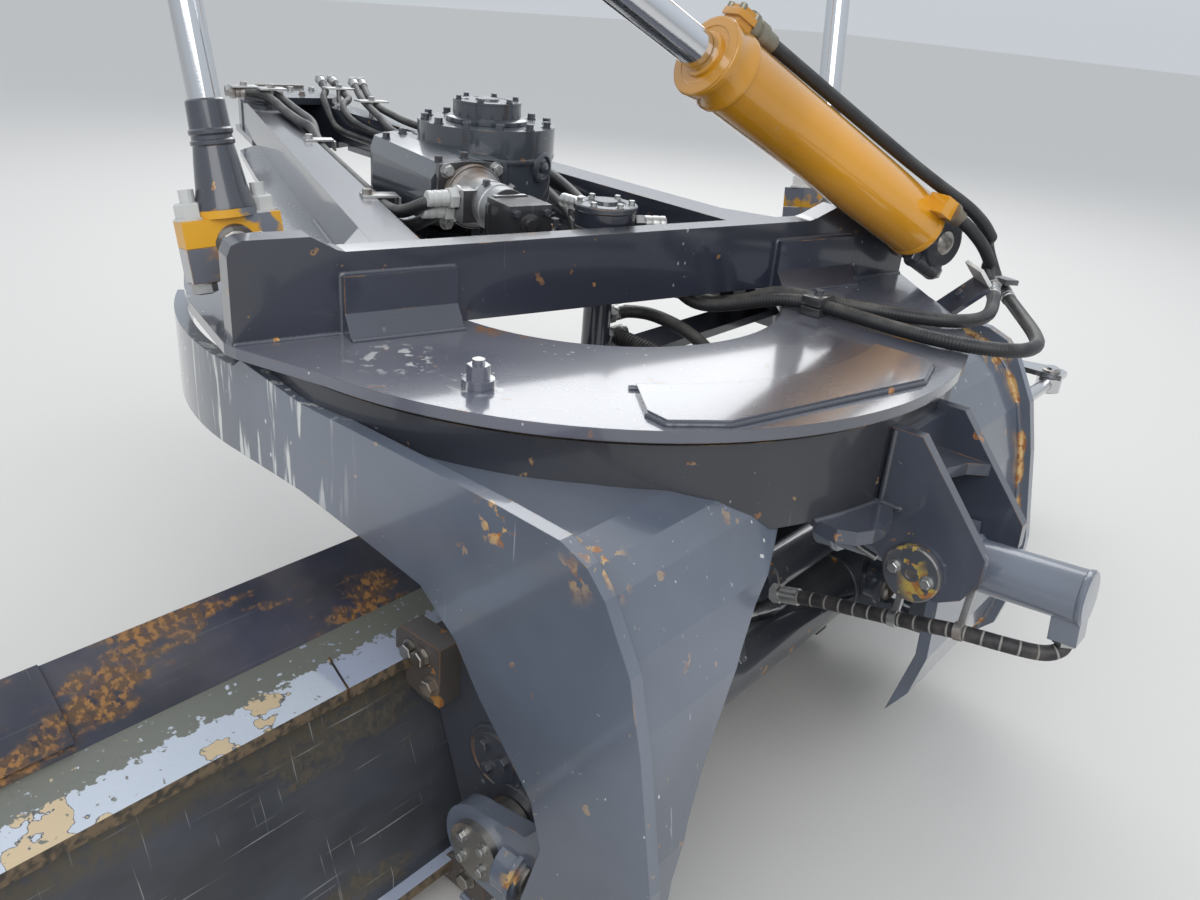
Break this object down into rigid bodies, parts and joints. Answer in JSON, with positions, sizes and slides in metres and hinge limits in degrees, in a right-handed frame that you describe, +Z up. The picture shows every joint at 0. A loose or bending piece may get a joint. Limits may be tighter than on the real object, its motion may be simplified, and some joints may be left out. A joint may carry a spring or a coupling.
{
  "type": "motor grader drawbar, circle and moldboard assembly",
  "caption": "Grader drawbar with a toothed turning circle, curved arms and a side-shifting curved blade, carrying its lift, shift and tilt cylinders",
  "frame": {"origin": "centre of the ball at the drawbar's nose, which the tractor's front bolster holds", "axes": "+X forward along the drawbar, +Y to the machine's left, +Z up, square to the deck"},
  "size_m": [3.561, 4.0375, 3.1063],
  "materials": {
    "grey_paint": "gloss, scuffed",
    "light_grey_paint": "gloss",
    "black_paint": "satin",
    "yellow_paint": "gloss",
    "rail_paint": "peeling",
    "rusty_steel": "rusty, scratched",
    "steel": "worn",
    "bronze_strip": "greased",
    "hose_rubber": "dusty",
    "chrome": "polished"
  },
  "bodies": {
    "drawbar": {"front_ball": "steel", "head_plates": "grey_paint", "frame_beams": "grey_paint", "deck": "grey_paint", "deck_doubler": "grey_paint", "cross_plate": "grey_paint", "plate_pads": "grey_paint", "lift_ball_studs": "steel", "shift_ball_stud": "steel", "guide_shoes": "grey_paint", "wear_strip": "bronze_strip", "swing_gearbox": "grey_paint", "swing_motor": "black_paint", "swivel_body": "grey_paint", "drawbar_hoses": "hose_rubber"},
    "circle": {"circle_ring": "grey_paint", "arm_left": "grey_paint", "arm_right": "grey_paint", "tilt_clevis": "grey_paint", "pivot_pins": "steel", "torque_bar": "grey_paint", "circle_hoses": "hose_rubber"},
    "pinion": {"pinion": "steel"},
    "blade_carrier": {"carrier_beam": "grey_paint", "rail_shoes": "grey_paint", "side_shift_barrel": "grey_paint"},
    "moldboard": {"moldboard_plate": "rusty_steel", "back_box": "rusty_steel", "slide_rails": "rail_paint", "cutting_edge": "steel", "blade_ends": "rusty_steel", "side_shift_rod": "chrome"},
    "tilt_barrel": {"tilt_barrel": "light_grey_paint", "tilt_hose": "hose_rubber"},
    "tilt_rod": {"tilt_rod": "chrome"},
    "lift_rod_left": {"lift_rod_left": "chrome", "lift_cap_left": "yellow_paint"},
    "lift_rod_right": {"lift_rod_right": "chrome", "lift_cap_right": "yellow_paint"},
    "lift_barrel_left": {"lift_barrel_left": "yellow_paint"},
    "lift_barrel_right": {"lift_barrel_right": "yellow_paint"},
    "shift_barrel": {"shift_barrel": "yellow_paint", "shift_cap": "black_paint", "shift_hoses": "hose_rubber"},
    "shift_rod": {"shift_rod": "chrome"}
  },
  "joints": [
    {"name": "circle_turn", "type": "hinge", "parent": "drawbar", "child": "circle", "pos_m": [-2.45, 0, -0.05], "axis": [0, 0, 1], "continuous": true},
    {"name": "pinion_turn", "type": "hinge", "parent": "drawbar", "child": "pinion", "pos_m": [-1.91, 0, -0.05], "axis": [0, 0, 1], "continuous": true},
    {"name": "blade_tilt", "type": "hinge", "parent": "circle", "child": "blade_carrier", "pos_m": [-2.82774, -0.11549, -0.84], "axis": [-0.2924, 0.9563, 0], "range_deg": [-5, 40]},
    {"name": "tilt_barrel_swing", "type": "hinge", "parent": "circle", "child": "tilt_barrel", "pos_m": [-3.23226, -0.23916, -0.336], "axis": [-0.2924, 0.9563, 0], "range_deg": [-2.4, 12.2]},
    {"name": "tilt_rod_extend", "type": "slide", "parent": "tilt_barrel", "child": "tilt_rod", "axis": [0.952, 0.2911, -0.0946], "range_m": [-0.045, 0.315]},
    {"name": "blade_side_shift", "type": "slide", "parent": "blade_carrier", "child": "moldboard", "axis": [-0.2924, 0.9563, 0], "range_m": [-0.45, 0.45]},
    {"name": "lift_left_swing", "type": "hinge", "parent": "drawbar", "child": "lift_rod_left", "pos_m": [-2.335, 0.715, 0.059], "axis": [1, 0, 0], "range_deg": [-12, 20]},
    {"name": "lift_left_extend", "type": "slide", "parent": "lift_rod_left", "child": "lift_barrel_left", "axis": [0.1697, 0.0767, 0.9825], "range_m": [-0.27, 0.74]},
    {"name": "lift_right_swing", "type": "hinge", "parent": "drawbar", "child": "lift_rod_right", "pos_m": [-2.335, -0.715, 0.059], "axis": [1, 0, 0], "range_deg": [-20, 12]},
    {"name": "lift_right_extend", "type": "slide", "parent": "lift_rod_right", "child": "lift_barrel_right", "axis": [0.1697, -0.0767, 0.9825], "range_m": [-0.27, 0.74]},
    {"name": "centre_shift_swing", "type": "hinge", "parent": "drawbar", "child": "shift_barrel", "pos_m": [-2.654, -0.784, 0.05], "axis": [1, 0, 0], "range_deg": [-8, 30]},
    {"name": "centre_shift_extend", "type": "slide", "parent": "shift_barrel", "child": "shift_rod", "axis": [0, 0.8894, 0.4571], "range_m": [-0.25, 0.32]}
  ],
  "couplings": [
    {"joint": "pinion_turn", "follows": "circle_turn", "ratio": 6},
    {"joint": "tilt_barrel_swing", "follows": "blade_tilt", "ratio": 0.2804},
    {"joint": "tilt_rod_extend", "follows": "blade_tilt", "m_per_rad": 0.4273}
  ]
}
